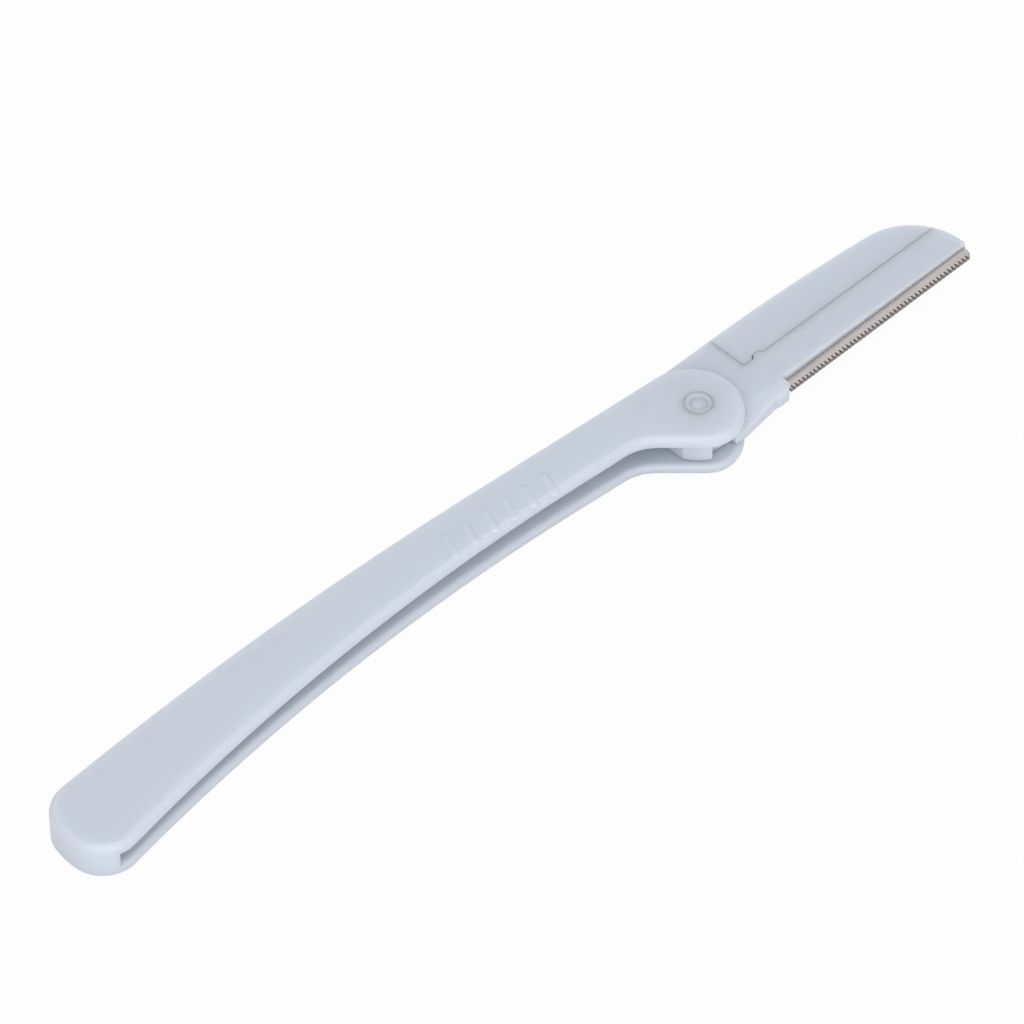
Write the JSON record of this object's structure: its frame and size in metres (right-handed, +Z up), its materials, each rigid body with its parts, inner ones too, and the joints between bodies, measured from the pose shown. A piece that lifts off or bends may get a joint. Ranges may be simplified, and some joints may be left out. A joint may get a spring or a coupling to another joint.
{
  "type": "eyebrow razor",
  "caption": "Folding eyebrow razor: a slotted handle that the blade arm turns into, with a spine clamp and a comb guard over the blade.",
  "frame": {"origin": "middle of the open razor's box, on the surface it lies on", "axes": "+X along the razor towards the nose of the blade arm, +Y towards the spine side, +Z up out of the flat side, along the hinge pin"},
  "size_m": [0.1667, 0.0217, 0.0073],
  "materials": {
    "white_plastic": "smooth glossy moulded plastic, cool white",
    "blade_steel": "ground stainless steel",
    "guard_steel": "satin stainless steel foil"
  },
  "bodies": {
    "handle": {"handle": "white_plastic", "pivot_pin": "white_plastic"},
    "arm": {"blade_arm": "white_plastic", "blade_clamp": "white_plastic", "blade": "blade_steel", "comb_guard": "guard_steel"}
  },
  "joints": [
    {"name": "fold", "type": "hinge", "parent": "handle", "child": "arm", "pos_m": [0.0319, 0, 0.0036], "axis": [0, 0, 1], "range_deg": [-185, 0]}
  ]
}
